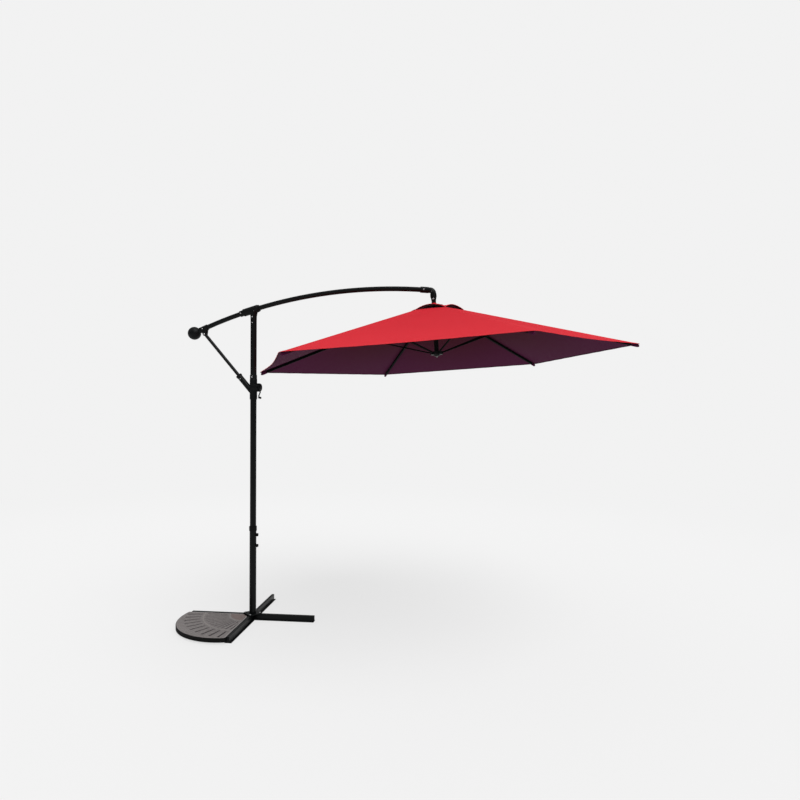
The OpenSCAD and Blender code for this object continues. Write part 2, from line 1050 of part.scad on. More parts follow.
module stretcher(i) {
    color(frame_black)
        stretcher_frame(i)
            difference() {
                union() {
                    y_bar(11, rib_w - 0.6);
                    translate([0, -tongue_w / 2, -4.5])
                        cube([arm_len, tongue_w, 9]);
                    translate([arm_len, 0, 0])
                        y_bar(11, tongue_w);
                }
                y_bar(pin_d + 2 * play, 40);
                translate([arm_len, 0, 0])
                    y_bar(pin_d + 2 * loose, 40);
                translate([12, -tongue_w / 2 + 1.2, -3.3])
                    cube([arm_len - 24, tongue_w - 2.4, 6.6]);
            }
}

// Cloth of one rib, folded over the rib's ridge: half of the panel on each side
module petal(r_in, r_out, z_in, z_out, sag) {
    drop = (z_in - z_out) / (r_out - r_in);
    outer = r_out - sag / cos(30);
    gap = seam_gap / 2 / cos(30);
    function at(r, z, side) = [r * cos(30) * cos(30), side * (r * cos(30) * sin(30) - gap), z];
    under = [[r_in, 0, z_in], at(r_in, z_in, -1), at(outer, z_in - (outer - r_in) * drop, -1),
        [r_out, 0, z_out], at(outer, z_in - (outer - r_in) * drop, 1), at(r_in, z_in, 1)];
    upper = [for (p = under) p + [0, 0, fabric_t]];
    top = [[6, 9, 8], [6, 8, 7], [6, 11, 10], [6, 10, 9]];
    bottom = [[0, 2, 3], [0, 1, 2], [0, 4, 5], [0, 3, 4]];
    walls = [for (i = [0:5]) [i, i + 6, (i + 1) % 6 + 6, (i + 1) % 6]];
    polyhedron(points = concat(under, upper), faces = concat(top, bottom, walls));
}

// Cloth of one rib, and the same part of the vent cap above it
module canopy(i) {
    color(canopy_red)
        canopy_frame()
            rotate([0, 0, 60 * (i - 1)]) {
                petal(canopy_hole_r, canopy_r, apex_z - canopy_hole_r * tan(rib_slope),
                    apex_z - canopy_r * tan(rib_slope), hem_sag);
                petal(vent_in, vent_r, vent_top, vent_edge, 4);
            }
}

cross_bar_a();
cross_bar_b();
bar_end_caps();
foot_plate();
foot_bolts();
foot_nuts();
fan_weight();
lower_mast();
mast_rest();
mast_collar();
clamp_knob(knob_z[0]);  // clamp_knob_upper
clamp_knob(knob_z[1]);  // clamp_knob_lower
upper_mast();
winch_housing();
winch_cover();
shaft_bushes();
winch_shaft();
winch_spool();
cord_winding();
crank_arm();
crank_grip();
strut();
strut_bolt();
strut_button();
boom();
rear_bracket();
boom_ball();
mast_head();
frame_screws();
mast_pulley();
elbow_pulley();
pulley_pins();
elbow();
hanger();
top_hub();
hub_pins();
lift_cord();
stem_tube();
runner();
runner_pins();
stem_cord();
rib(1);  // rib_1
rib(2);  // rib_2
rib(3);  // rib_3
rib(4);  // rib_4
rib(5);  // rib_5
rib(6);  // rib_6
stretcher(1);  // stretcher_1
stretcher(2);  // stretcher_2
stretcher(3);  // stretcher_3
stretcher(4);  // stretcher_4
stretcher(5);  // stretcher_5
stretcher(6);  // stretcher_6
canopy(1);  // canopy_1
canopy(2);  // canopy_2
canopy(3);  // canopy_3
canopy(4);  // canopy_4
canopy(5);  // canopy_5
canopy(6);  // canopy_6
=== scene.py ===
import json
import math

import bmesh
import bpy
import numpy as np
from mathutils import Euler, Matrix, Vector


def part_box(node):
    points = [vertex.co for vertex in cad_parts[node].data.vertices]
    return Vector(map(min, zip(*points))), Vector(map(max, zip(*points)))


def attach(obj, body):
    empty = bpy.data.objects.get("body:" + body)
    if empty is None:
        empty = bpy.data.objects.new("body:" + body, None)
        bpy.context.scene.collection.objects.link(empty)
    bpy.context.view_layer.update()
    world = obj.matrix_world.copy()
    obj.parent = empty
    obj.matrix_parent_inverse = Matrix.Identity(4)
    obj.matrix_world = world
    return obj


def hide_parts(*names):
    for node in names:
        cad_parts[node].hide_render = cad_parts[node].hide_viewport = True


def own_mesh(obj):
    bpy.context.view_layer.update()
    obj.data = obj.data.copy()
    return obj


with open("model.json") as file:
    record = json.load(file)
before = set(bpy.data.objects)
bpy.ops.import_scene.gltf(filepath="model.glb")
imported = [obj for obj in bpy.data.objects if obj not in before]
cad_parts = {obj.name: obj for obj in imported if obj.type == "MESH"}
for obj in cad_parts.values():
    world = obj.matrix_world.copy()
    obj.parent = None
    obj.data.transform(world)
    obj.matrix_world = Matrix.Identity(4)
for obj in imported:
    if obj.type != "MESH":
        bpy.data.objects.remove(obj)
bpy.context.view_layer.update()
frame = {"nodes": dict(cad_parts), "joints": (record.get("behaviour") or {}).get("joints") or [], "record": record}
print("frame loaded,", len(frame["nodes"]), "nodes")

# camera: place in metres, tilt and turn in degrees, lens in millimetres
cameraPlace = {"place": (2.081, -4.2291, 1.5905), "tilt": 90.741, "turn": 12.58, "lens": 27.225}

cameraData = bpy.data.cameras.new("camera")
cameraData.lens = cameraPlace["lens"]
cameraData.sensor_width = 36
camera = bpy.data.objects.new("camera", cameraData)
camera.location = cameraPlace["place"]
camera.rotation_euler = Euler((math.radians(cameraPlace["tilt"]), 0, math.radians(cameraPlace["turn"])))
bpy.context.scene.collection.objects.link(camera)
bpy.context.scene.camera = camera


class Field:
    # a node's output that can be used in sums
    def __init__(self, shader, socket):
        self.shader = shader
        self.socket = socket

    def maths(self, operation, first, second=0.0):
        return self.shader.field("ShaderNodeMath", {"operation": operation}, {0: first, 1: second})

    def __add__(self, other):
        return self.maths("ADD", self, other)

    def __radd__(self, other):
        return self.maths("ADD", other, self)

    def __sub__(self, other):
        return self.maths("SUBTRACT", self, other)

    def __mul__(self, other):
        return self.maths("MULTIPLY", self, other)

    def sine(self):
        return self.maths("SINE", self)

    def below(self, limit):
        return self.maths("LESS_THAN", self, limit)

    def size(self):
        return self.maths("ABSOLUTE", self)


class Shader:
    # one material with its principled shader
    def __init__(self, name):
        self.material = bpy.data.materials.new(name)
        self.material.use_nodes = True
        self.tree = self.material.node_tree
        self.tree.nodes.clear()
        self.surface = self.node("ShaderNodeBsdfPrincipled")
        self.node("ShaderNodeOutputMaterial", {}, {"Surface": Field(self, self.surface.outputs[0])})

    def node(self, kind, settings=None, sockets=None):
        made = self.tree.nodes.new(kind)
        for key, value in (settings or {}).items():
            if key == "stops":
                ramp = made.color_ramp
                for n, (place, colour) in enumerate(value):
                    stop = ramp.elements[n] if n < 2 else ramp.elements.new(place)
                    stop.position = place
                    stop.color = (*colour, 1)
            else:
                setattr(made, key, value)
        for key, value in (sockets or {}).items():
            if isinstance(value, Field):
                self.tree.links.new(value.socket, made.inputs[key])
            else:
                made.inputs[key].default_value = value
        return made

    def field(self, kind, settings=None, sockets=None, out=0):
        return Field(self, self.node(kind, settings, sockets).outputs[out])

    def place(self):
        return self.field("ShaderNodeTexCoord", out=3)

    def stretched(self, vector, scale):
        return self.field("ShaderNodeMapping", {}, {"Vector": vector, "Scale": scale})

    def noise(self, vector, scale, detail=3.0, roughness=0.55):
        return self.field("ShaderNodeTexNoise", {},
                          {"Vector": vector, "Scale": scale, "Detail": detail, "Roughness": roughness})

    def ramp(self, value, stops):
        return self.field("ShaderNodeValToRGB", {"stops": stops}, {0: value})

    def between(self, share, first, second):
        colours = [c if isinstance(c, Field) else (*c, 1) for c in (first, second)]
        return self.field("ShaderNodeMix", {"data_type": "RGBA"}, {0: share, 6: colours[0], 7: colours[1]}, 2)

    def attribute(self, name):
        return self.field("ShaderNodeAttribute", {"attribute_name": name}, {}, 2)

    def bump(self, height, distance, strength=1.0):
        return self.field("ShaderNodeBump", {},
                          {"Height": height, "Distance": distance, "Strength": strength})

    def finish(self, **sockets):
        names = {"colour": "Base Color", "rough": "Roughness", "metal": "Metallic", "normal": "Normal",
                 "shine": "Specular IOR Level"}
        for key, value in sockets.items():
            entry = self.surface.inputs[names[key]]
            if isinstance(value, Field):
                self.tree.links.new(value.socket, entry)
            elif key == "colour":
                entry.default_value = (*value, 1)
            else:
                entry.default_value = value
        return self.material


def powderCoat(name, dark, light, rough=0.28, shine=0.12):
    # satin powder coat: fine orange peel, faint cloudiness and slightly duller patches
    shader = Shader(name)
    at = shader.place()
    cloud = shader.noise(at, 9, 4)
    grain = shader.noise(at, 900, 2)
    return shader.finish(colour=shader.between(cloud, dark, light), rough=rough + cloud * 0.12 + grain * 0.05,
                         shine=shine, normal=shader.bump(grain, 0.0001, 0.2))


def mouldedPlastic(name, dark, light, rough, texture):
    # moulded plastic: spark-eroded texture and faint scuffs
    shader = Shader(name)
    at = shader.place()
    grain = shader.noise(at, texture, 2)
    scuff = shader.noise(shader.stretched(at, (1, 1, 0.2)), 45, 5)
    return shader.finish(colour=shader.between(scuff, dark, light), rough=rough + scuff * 0.14, shine=0.11,
                         normal=shader.bump(grain, 0.0002, 0.3))


def zincSteel():
    # zinc-plated steel: bright, with fine drawn lines
    shader = Shader("zincSteel")
    at = shader.place()
    lines = shader.noise(shader.stretched(at, (1, 1, 12)), 320, 3)
    cloud = shader.noise(at, 60, 3)
    return shader.finish(colour=shader.between(cloud, (0.5, 0.51, 0.52), (0.7, 0.7, 0.71)), metal=1.0,
                         rough=0.24 + lines * 0.2, normal=shader.bump(lines, 0.0002, 0.4))


def castStone():
    # cast ballast stone: brown-grey, speckled, a redder inner sector and pits; painted shade in the grooves and on
    # the sides, painted highlight on the raised arcs and in a strip along the straight edges
    shader = Shader("castStone")
    at = shader.place()
    cloud = shader.noise(at, 7, 5)
    speckle = shader.noise(at, 260, 3, 0.7)
    pits = shader.field("ShaderNodeTexVoronoi", {}, {"Vector": at, "Scale": 190.0})
    base = shader.between(cloud, (0.098, 0.088, 0.086), (0.185, 0.168, 0.165))
    spotted = shader.between(shader.ramp(speckle, [(0.42, (0, 0, 0)), (0.62, (1, 1, 1))]), base,
                             (0.29, 0.27, 0.265))
    reddish = shader.between(shader.attribute("innerSector") * 0.3, spotted, (0.20, 0.10, 0.08))
    # grooves painted near black: painted shade in the recesses
    grooveShadePainted = shader.between(shader.attribute("groove") * 0.95, reddish, (0.012, 0.011, 0.011))
    # raised arcs painted paler: painted highlight on the ridges
    arcs = shader.between(shader.attribute("arc") * 0.6, grooveShadePainted, (0.33, 0.31, 0.29))
    # a pale strip along the straight edges: painted highlight
    highlightPainted = shader.between(shader.attribute("border") * 0.7, arcs, (0.36, 0.345, 0.34))
    # sides and rails painted near black: painted shade
    sideShadePainted = shader.between(shader.attribute("wall"), highlightPainted, (0.0035, 0.0035, 0.0034))
    height = speckle * 0.6 + pits * 0.4
    return shader.finish(colour=sideShadePainted, rough=0.72 + cloud * 0.16, shine=0.12,
                         normal=shader.bump(height, 0.0012, 0.5))


weaveSizes = {"thread": 0.0011, "hemStitch": 0.019, "seamStitch": 0.005, "stitchHalf": 0.0009,
              "stitchLength": 0.0045, "hem": 0.022, "binding": 0.007, "paleFrom": 0.35, "paleTo": 1.25}


def wovenCloth(name, dark, light, outer, hem):
    # plain-woven canopy cloth: crossed threads from the UV map in metres, stitch rows beside hem and seam
    thread = weaveSizes["thread"]
    shader = Shader(name)
    flat = shader.field("ShaderNodeUVMap")
    parts = shader.node("ShaderNodeSeparateXYZ", {}, {0: flat})
    along, across = (Field(shader, parts.outputs[n]) for n in (0, 1))
    weave = (along * (2 * math.pi / thread)).sine() * (across * (2 * math.pi / thread)).sine()
    at = shader.place()
    cloud = shader.noise(at, 3.2, 4)
    slub = shader.noise(shader.stretched(flat, (40, 900, 1)), 1.0, 2)
    hemGap = shader.attribute("hemGap")
    seamGap = shader.attribute("seamGap")
    half = weaveSizes["stitchHalf"]
    row = ((hemGap - weaveSizes["hemStitch"]).size().below(half)
           + (seamGap - weaveSizes["seamStitch"]).size().below(half))
    dash = (along * (2 * math.pi / weaveSizes["stitchLength"])).sine().below(0.55)
    stitch = row * dash
    folded = hemGap.below(weaveSizes["hem"])
    # towards the hem the cloth turns paler, and the inner face purpler: partly fading, partly painted light coming
    # through the cloth
    spread = shader.field("ShaderNodeMapRange", {"interpolation_type": "SMOOTHSTEP"},
                          {0: along, 1: weaveSizes["paleFrom"], 2: weaveSizes["paleTo"]})
    cloth = shader.between(spread * 0.8, shader.between(cloud * 0.75 + slub * 0.25, dark, light), outer)
    bound = shader.attribute("holeGap").below(weaveSizes["binding"])
    banded = shader.between(bound * 0.6, shader.between(folded * 0.55, cloth, hem), (0.30, 0.10, 0.20))
    stitched = shader.between(stitch * 0.5, banded, tuple(0.55 * c for c in dark))
    return shader.finish(colour=stitched, rough=0.82 + slub * 0.12, shine=0.06,
                         normal=shader.bump(weave * 0.5 + slub * 0.3 - stitch * 1.6, 0.0004, 0.6))


def braidedCord():
    # braided polyester cord: two sets of slanting strands
    shader = Shader("braidedCord")
    at = shader.place()
    parts = shader.node("ShaderNodeSeparateXYZ", {}, {0: at})
    x, y, z = (Field(shader, parts.outputs[n]) for n in (0, 1, 2))
    strands = ((x + z) * 2600).sine() * ((z - x + y) * 2600).sine()
    return shader.finish(colour=shader.between(0.5 + strands * 0.5, (0.12, 0.12, 0.115), (0.3, 0.3, 0.285)),
                         rough=0.85, normal=shader.bump(strands, 0.0003, 0.6))


paint = powderCoat("framePaint", (0.0016, 0.0021, 0.0022), (0.0042, 0.0052, 0.0054))
plastic = mouldedPlastic("blackPlastic", (0.0015, 0.0018, 0.0019), (0.0042, 0.0048, 0.0050), 0.38, 1300)
gripPlastic = mouldedPlastic("gripPlastic", (0.0032, 0.0034, 0.0036), (0.0066, 0.0068, 0.0072), 0.5, 700)
ribPaint = powderCoat("ribPaint", (0.0010, 0.0012, 0.0012), (0.0028, 0.0032, 0.0033), 0.62, 0.04)
zinc = zincSteel()
stone = castStone()
clothOuter = wovenCloth("clothOuter", (0.49, 0.016, 0.026), (0.58, 0.022, 0.034), (0.61, 0.026, 0.038),
                        (0.66, 0.036, 0.048))
# the inner face is painted dark plum, far darker than the outer red: painted shade of the canopy's underside
clothInnerShaded = wovenCloth("clothInnerShaded", (0.032, 0.0026, 0.0060), (0.043, 0.0036, 0.0088),
                        (0.060, 0.0080, 0.036), (0.018, 0.003, 0.008))
cordCloth = braidedCord()
finishes = {"frame_paint": paint, "black_plastic": plastic, "grip_plastic": gripPlastic, "zinc_steel": zinc,
            "weight_stone": stone, "canopy_cloth": clothOuter, "cord_cloth": cordCloth}
print("materials made")

joints = {joint["name"]: joint for joint in frame["joints"]}
nodeSlot = {part["node"]: part["material_slot"] for part in frame["record"]["subparts"]}
nodeBody = {node: body for body, nodes in frame["record"]["behaviour"]["bodies"].items() for node in nodes}


def addPiece(name, mesh, body, slot, replaced=(), material=None):
    # puts a finished mesh on its body, with the slot's finish
    piece = bpy.data.objects.new(name, mesh)
    bpy.context.scene.collection.objects.link(piece)
    mesh.materials.clear()
    mesh.materials.append(material or finishes[slot])
    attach(piece, body)
    if replaced:
        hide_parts(*replaced)
    return piece


def joined(mesh, gap):
    # merges points closer than the gap and turns the faces outwards
    whole = bmesh.new()
    whole.from_mesh(mesh)
    bmesh.ops.remove_doubles(whole, verts=whole.verts, dist=gap)
    bmesh.ops.recalc_face_normals(whole, faces=whole.faces)
    whole.to_mesh(mesh)
    whole.free()


def smoothUpTo(mesh, angle):
    # smooth shading, with a sharp edge where faces meet at more than the angle in degrees
    mesh.shade_smooth()
    mesh.set_sharp_from_angle(angle=math.radians(angle))


def setValues(mesh, values):
    # one attribute on the points for each name
    for key, value in values.items():
        mesh.attributes.new(key, "FLOAT", "POINT").data.foreach_set("value", value.astype(np.float32).ravel())


def gridFaces(rows, columns, closed):
    # index quads of a grid of points, row by row; a closed grid joins its last column to its first
    last = columns if closed else columns - 1
    row, column = np.meshgrid(np.arange(rows - 1), np.arange(last), indexing="ij")
    beside = (column + 1) % columns
    corners = [row * columns + column, row * columns + beside, (row + 1) * columns + beside,
               (row + 1) * columns + column]
    return np.stack(corners, -1).reshape(-1, 4)


def surfaceMesh(name, points, closed=True, weld=True):
    # mesh of a grid of points; weld closes its poles and turns its faces outwards
    rows, columns = points.shape[:2]
    mesh = bpy.data.meshes.new(name)
    mesh.from_pydata(points.reshape(-1, 3), [], gridFaces(rows, columns, closed).tolist())
    if weld:
        joined(mesh, 1e-6)
    mesh.shade_smooth()
    return mesh


def sideways(axis):
    # the axis as a unit direction, and two unit directions square to it
    axis = np.array(axis, float) / np.linalg.norm(axis)
    helper = np.array((0, 1, 0) if abs(axis[1]) < 0.9 else (1, 0, 0), float)
    first = np.cross(axis, helper)
    first /= np.linalg.norm(first)
    return axis, first, np.cross(axis, first)


def lathePoints(profile, start, axis, turns):
    # start + axis * distance + radius * (cos * first + sin * second), for each (distance, radius)
    axis, first, second = sideways(axis)
    turn = np.linspace(0, 2 * np.pi, turns, endpoint=False)
    ring = np.cos(turn)[:, None] * first + np.sin(turn)[:, None] * second
    profile = np.array(profile, float)
    return np.array(start) + profile[:, :1, None] * axis + profile[:, 1:, None] * ring


creaseAngle = 32


def softened(node, width, material=None):
    # merged copy of a CAD node with rounded edges, which stands for the node
    mesh = frame["nodes"][node].data.copy()
    whole = bmesh.new()
    whole.from_mesh(mesh)
    bmesh.ops.remove_doubles(whole, verts=whole.verts, dist=1e-5)
    bmesh.ops.dissolve_limit(whole, angle_limit=math.radians(1), verts=whole.verts, edges=whole.edges)
    whole.to_mesh(mesh)
    whole.free()
    piece = addPiece(node + "Finished", mesh, nodeBody[node], nodeSlot[node], [node], material)
    bevel = piece.modifiers.new("softEdges", "BEVEL")
    bevel.width = width
    bevel.segments = 2
    bevel.limit_method = "ANGLE"
    bevel.angle_limit = math.radians(creaseAngle)
    bevel.harden_normals = False
    smoothUpTo(mesh, creaseAngle)


def bars(name, rods, turns=64):
    # closed round bars (start, end, start radius, end radius), all in one mesh
    mesh = bpy.data.meshes.new(name)
    points, faces = [], []
    for start, end, r0, r1 in rods:
        along = np.array(end, float) - np.array(start, float)
        length = np.linalg.norm(along)
        rings = lathePoints([(0, 0), (0, r0), (length, r1), (length, 0)], start, along, turns)
        faces.extend((gridFaces(4, turns, True) + len(points)).tolist())
        points.extend(rings.reshape(-1, 3).tolist())
    mesh.from_pydata(points, [], faces)
    joined(mesh, 1e-7)
    return mesh


def rod(start, way, sizes):
    # bar on a line: sizes are where it starts and ends along the way, and its radius
    near, far, radius = sizes
    start, way = np.array(start, float), np.array(way, float)
    return start + way * near, start + way * far, radius, radius


def casting(node, rods, bores, grain, rounds):
    # moulded piece: its bars are fused, the joins filleted by smoothing, and the bores cut clean
    piece = bpy.data.objects.new(node + "Form", bars(node + "Form", rods))
    bpy.context.scene.collection.objects.link(piece)
    fuse = piece.modifiers.new("fuse", "REMESH")
    fuse.mode = "VOXEL"
    fuse.voxel_size = grain
    even = piece.modifiers.new("even", "SMOOTH")
    even.factor = 0.5
    even.iterations = rounds
    cutters = []
    for n, rod in enumerate(bores):
        cutter = bpy.data.objects.new(f"{node}Bore{n}", bars(f"{node}Bore{n}", [rod]))
        bpy.context.scene.collection.objects.link(cutter)
        cut = piece.modifiers.new(f"cut{n}", "BOOLEAN")
        cut.operation = "DIFFERENCE"
        cut.solver = "EXACT"
        cut.object = cutter
        cutters.append(cutter)
    view = bpy.context.evaluated_depsgraph_get()
    mesh = bpy.data.meshes.new_from_object(piece.evaluated_get(view))
    for extra in [piece, *cutters]:
        bpy.data.objects.remove(extra)
    smoothUpTo(mesh, 40)
    addPiece(node + "Finished", mesh, nodeBody[node], nodeSlot[node], [node])


# CAD nodes that stay as they are
for node, thing in frame["nodes"].items():
    thing.data.materials.clear()
    thing.data.materials.append(finishes[nodeSlot[node]])
    smoothUpTo(thing.data, creaseAngle)

# rounded edges of CAD nodes that keep their shape: width in metres
softWidths = {"cross_bar_a": 0.0012, "cross_bar_b": 0.0012, "bar_end_caps": 0.0012, "foot_plate": 0.0012,
              "foot_bolts": 0.0007, "mast_collar": 0.0018, "clamp_knob_upper": 0.0009,
              "clamp_knob_lower": 0.0009, "winch_cover": 0.0009, "crank_grip": 0.002, "top_hub": 0.001,
              "runner": 0.0012, "strut_bolt": 0.0008, "frame_screws": 0.0008, "hanger": 0.0012,
              "upper_mast": 0.0008, "lower_mast": 0.0008, "boom": 0.0006, "strut": 0.0006,
              "rear_bracket": 0.001, "elbow": 0.0009}
softWidths.update({f"{kind}_{i}": 0.0007 for kind in ("rib", "stretcher") for i in range(1, 7)})
for node, width in softWidths.items():
    softened(node, width, ribPaint if node.startswith(("rib_", "stretcher_")) else None)
print("softened pieces made")

footTurn = math.radians(6)
fanSizes = {"edge": 0.012, "tip": 0.0566, "rimOffset": 0.112, "rim": 0.395, "firstArc": 0.165,
            "secondArc": 0.355, "rayEnd": 0.492, "arcHeight": 0.0018, "grooveDepth": 0.0035,
            "arcWidth": 0.0032, "sunk": 0.0012, "innerRays": 14, "outerRays": 11, "rayStep": 0.012,
            "centre": 0.2, "underside": 0.010, "rounding": 0.004, "partingIn": 0.0015,
            "parting": (0.026, 0.0245, 0.022, 0.0205), "rimLand": 0.012, "rimStep": 0.006,
            "highlightIn": 0.0075, "highlightWidth": 0.0026, "around": 600, "rings": 138,
            "railStart": 0.080, "railLength": 0.330, "railWidth": 0.012}


def fanReach(turn, centre):
    # distance from a centre to the fan's outline: least of two straight sides, the cut tip and the rim arc
    dx, dy = np.cos(turn), np.sin(turn)
    big = 9.0
    toLeft = np.where(dx < 0, (centre - fanSizes["edge"]) / np.maximum(-dx, 1e-9), big)
    toRight = np.where(dy < 0, (centre - fanSizes["edge"]) / np.maximum(-dy, 1e-9), big)
    slant = (dx + dy) / math.sqrt(2)
    toTip = np.where(slant < 0, (centre * math.sqrt(2) - fanSizes["tip"]) / np.maximum(-slant, 1e-9), big)
    off = centre - fanSizes["rimOffset"]
    half = off * (dx + dy)
    toRim = -half + np.sqrt(half**2 - 2 * off**2 + fanSizes["rim"]**2)
    stack = np.stack([toLeft, toRight, toTip, toRim])
    return (stack**-48.0).sum(0) ** (-1 / 48)


def fanWeight():
    # rings shrink from the outline to a centre; the top's height is a sum of arcs less a sum of ray grooves
    low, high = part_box("fan_weight")
    top, under = high.z, fanSizes["underside"]
    centre, rounding, parting = fanSizes["centre"], fanSizes["rounding"], fanSizes["partingIn"]
    turn = np.linspace(0, 2 * np.pi, fanSizes["around"], endpoint=False)
    reach = fanReach(turn, centre)
    inner = np.linspace(0, 1, fanSizes["rings"])
    corner = np.linspace(0, np.pi / 2, 6)[1:]
    insets = np.concatenate([rounding * (1 - np.sin(corner)), [0, parting, parting, 0, 0, rounding]])
    heights = np.concatenate([top - rounding * (1 - np.cos(corner)), fanSizes["parting"],
                              [under + rounding / 2, under]])
    flat = (reach - rounding)[None, :] * inner[:, None]
    sides = reach[None, :] - insets[:, None]
    # the underside's rings run to the centre, so that it closes
    bottom = flat[np.linspace(fanSizes["rings"] - 1, 0, 6).astype(int)]
    span = np.concatenate([flat, sides, bottom])
    x = centre + span * np.cos(turn)
    y = centre + span * np.sin(turn)
    z = np.concatenate([np.full(flat.shape, top), np.repeat(heights[:, None], fanSizes["around"], 1),
                        np.full(bottom.shape, under)])
    r, a = np.hypot(x, y), np.arctan2(y, x)

    def step(value, start, width):
        share = np.clip((value - start) / width, 0, 1)
        return share**2 * (3 - 2 * share)

    edgeGap = np.minimum(np.minimum(x, y) - fanSizes["edge"], fanSizes["rim"] -
                         np.hypot(x - fanSizes["rimOffset"], y - fanSizes["rimOffset"]))
    inside = step(edgeGap, fanSizes["rimLand"], fanSizes["rimStep"])
    # painted highlight: a pale strip a few millimetres in from the straight edges
    straightGap = np.minimum(x, y) - fanSizes["edge"]
    line = (straightGap - fanSizes["highlightIn"]) / fanSizes["highlightWidth"]
    border = np.exp(-(line**2)) * (edgeGap > 0.003)
    arcs = (fanSizes["firstArc"], fanSizes["secondArc"])
    arc = sum(np.exp(-((r - spot) / fanSizes["arcWidth"]) ** 2) for spot in arcs) * inside
    rayStep = fanSizes["rayStep"]

    def rays(count, start, end):
        wave = np.cos(a / (np.pi / 2) * 2 * np.pi * count) * 0.5 - 0.5
        wide = np.clip(1 + wave * 5.0, 0, 1)
        return wide * step(r, start, rayStep) * (1 - step(r, end - rayStep, rayStep))

    groove = rays(fanSizes["innerRays"], arcs[0] + rayStep, arcs[1] - rayStep)
    groove += rays(fanSizes["outerRays"], arcs[1] + 0.014, fanSizes["rayEnd"])
    groove *= inside
    onTop = np.zeros(z.shape)
    onTop[:len(flat)] = 1
    sunk = 1 - step(r, arcs[0] - 0.012, 0.008)
    relief = arc * fanSizes["arcHeight"] - groove * fanSizes["grooveDepth"] - fanSizes["sunk"] * sunk
    z = z + onTop * inside * relief
    z = np.minimum(z, high.z)
    turned = math.pi + footTurn
    points = np.stack([x * math.cos(turned) - y * math.sin(turned),
                       x * math.sin(turned) + y * math.cos(turned), z], -1)
    mesh = surfaceMesh("fanWeightFinished", points, weld=False)
    # the groove and wall masks carry the stone's painted shade, the arc mask and the edge strip its painted
    # highlight
    setValues(mesh, {"groove": groove * onTop, "arc": arc * onTop, "innerSector": sunk * onTop * inside,
                     "wall": 1 - onTop, "border": border * onTop})
    joined(mesh, 1e-6)
    whole = bmesh.new()
    whole.from_mesh(mesh)
    start, length = fanSizes["railStart"], fanSizes["railLength"]
    middle, width = fanSizes["edge"] + fanSizes["railWidth"] / 2, fanSizes["railWidth"]
    railTop = under + 0.0005
    place = (start + length / 2, middle)
    for spot, size in ((place, (length, width)), (place[::-1], (width, length))):
        shape = (Matrix.Rotation(turned, 4, "Z") @ Matrix.Translation((*spot, (low.z + railTop) / 2))
                 @ Matrix.Diagonal((*size, railTop - low.z, 1)))
        rail = bmesh.ops.create_cube(whole, size=1, matrix=shape)["verts"]
        edges = list({edge for end in rail for edge in end.link_edges})
        bmesh.ops.bevel(whole, geom=edges, offset=0.001, segments=2, affect="EDGES", profile=0.5)
    whole.to_mesh(mesh)
    whole.free()
    # the rails under the slab get the sides' painted shade too
    heights = np.array([v.co.z for v in mesh.vertices])
    walls = np.array([v.value for v in mesh.attributes["wall"].data])
    mesh.attributes["wall"].data.foreach_set("value", np.where(heights < railTop + 1e-5, 1.0, walls))
    smoothUpTo(mesh, 45)
    addPiece("fanWeightFinished", mesh, "foot", "weight_stone", ["fan_weight"])


fanWeight()
print("foot made")

boomArc = {"radius": 3.7, "middle": 0.92, "top": 2.451}


def boomTurn(x):
    return math.asin((x - boomArc["middle"]) / boomArc["radius"])


def boomPoint(x):
    return np.array((x, 0, boomArc["top"] - boomArc["radius"] * (1 - math.cos(boomTurn(x)))))


def boomRod(sizes):
    # bar along the boom: sizes are its two ends and its radius
    near, far, radius = sizes
    return boomPoint(near), boomPoint(far), radius, radius


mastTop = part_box("upper_mast")[1].z
# bars along the boom and up the mast: start, end and radius
headSizes = {"collar": (-0.110, -0.079, 0.023), "sleeve": (-0.080, 0.036, 0.0285),
             "lip": (0.035, 0.046, 0.025), "bore": (-0.13, 0.07, 0.01755), "neck": 0.0235,
             "spigot": (-0.055, 0.001, 0.0213),
             "cavity": 0.013, "pocket": (-0.007, 0.007, 0.0155), "flare": 0.030, "flareLow": 0.052,
             "flareHigh": 0.018, "grain": 0.0012, "evenings": 1}
headHeight = boomPoint(0)[2]
cavityLow = mastTop + headSizes["spigot"][0] - 0.001
pulleySpot = joints["mast_pulley_turn"]["pos_m"]
neck = headSizes["neck"]
casting("mast_head",
        [boomRod(headSizes["collar"]), boomRod(headSizes["sleeve"]), boomRod(headSizes["lip"]),
         ((0, 0, mastTop), (0, 0, headHeight), neck, neck),
         rod((0, 0, mastTop), (0, 0, 1), headSizes["spigot"]),
         ((0, 0, headHeight - headSizes["flareLow"]), (0, 0, headHeight - headSizes["flareHigh"]), neck,
          headSizes["flare"])],
        [boomRod(headSizes["bore"]),
         rod((0, 0, 0), (0, 0, 1), (cavityLow, headHeight, headSizes["cavity"])),
         rod(pulleySpot, (0, 1, 0), headSizes["pocket"])],
        headSizes["grain"], headSizes["evenings"])

ballSizes = {"place": -0.497, "radius": 0.05, "leave": 131, "end": 0.0443, "endRadius": 0.0245,
             "rim": 0.0008, "plug": (-0.004, 0.028, 0.0159)}


